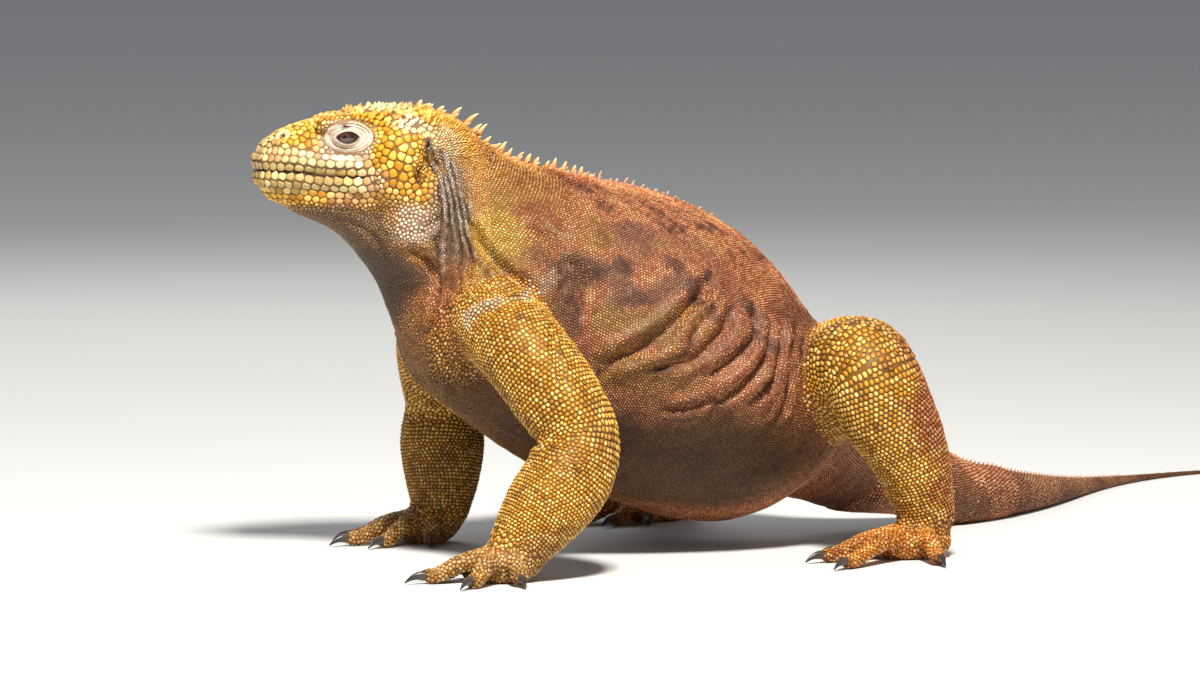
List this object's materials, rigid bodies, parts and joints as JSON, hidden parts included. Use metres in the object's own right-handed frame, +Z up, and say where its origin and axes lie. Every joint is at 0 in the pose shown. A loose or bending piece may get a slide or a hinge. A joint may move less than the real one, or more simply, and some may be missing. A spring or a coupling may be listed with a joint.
{
  "type": "galapagos land iguana figure",
  "caption": "Life-size land iguana standing on four feet with chest raised, head turned aside, low spiny crest and long tail resting on the floor; a still display model.",
  "frame": {"origin": "on the floor, under the middle of the bounding box", "axes": "+X from head to tail along the body, so the animal faces -X; +Y to its right side; +Z up"},
  "size_m": [0.8542, 0.3506, 0.2547],
  "materials": {
    "head_skin": "matt scales",
    "rust_skin": "matt fine scales",
    "golden_skin": "matt bead-like scales",
    "orange_skin": "matt bead-like scales",
    "claw_horn": "worn dark horn",
    "eye": "wet gloss"
  },
  "bodies": {
    "root": {"torso": "rust_skin", "neck": "head_skin", "head": "head_skin", "eye_left": "eye", "eye_right": "eye", "tail_root": "rust_skin", "tail_fore": "rust_skin", "tail_mid": "rust_skin", "tail_rear": "rust_skin", "tail_tip": "rust_skin", "upper_arm_left": "golden_skin", "forearm_left": "golden_skin", "hand_left": "orange_skin", "claw_hand_left_1": "claw_horn", "claw_hand_left_2": "claw_horn", "claw_hand_left_3": "claw_horn", "claw_hand_left_4": "claw_horn", "claw_hand_left_5": "claw_horn", "thigh_left": "golden_skin", "shank_left": "golden_skin", "foot_left": "orange_skin", "claw_foot_left_1": "claw_horn", "claw_foot_left_2": "claw_horn", "claw_foot_left_3": "claw_horn", "claw_foot_left_4": "claw_horn", "claw_foot_left_5": "claw_horn", "upper_arm_right": "golden_skin", "forearm_right": "golden_skin", "hand_right": "orange_skin", "claw_hand_right_1": "claw_horn", "claw_hand_right_2": "claw_horn", "claw_hand_right_3": "claw_horn", "claw_hand_right_4": "claw_horn", "claw_hand_right_5": "claw_horn", "thigh_right": "golden_skin", "shank_right": "golden_skin", "foot_right": "orange_skin", "claw_foot_right_1": "claw_horn", "claw_foot_right_2": "claw_horn", "claw_foot_right_3": "claw_horn", "claw_foot_right_4": "claw_horn", "claw_foot_right_5": "claw_horn"}
  },
  "joints": []
}
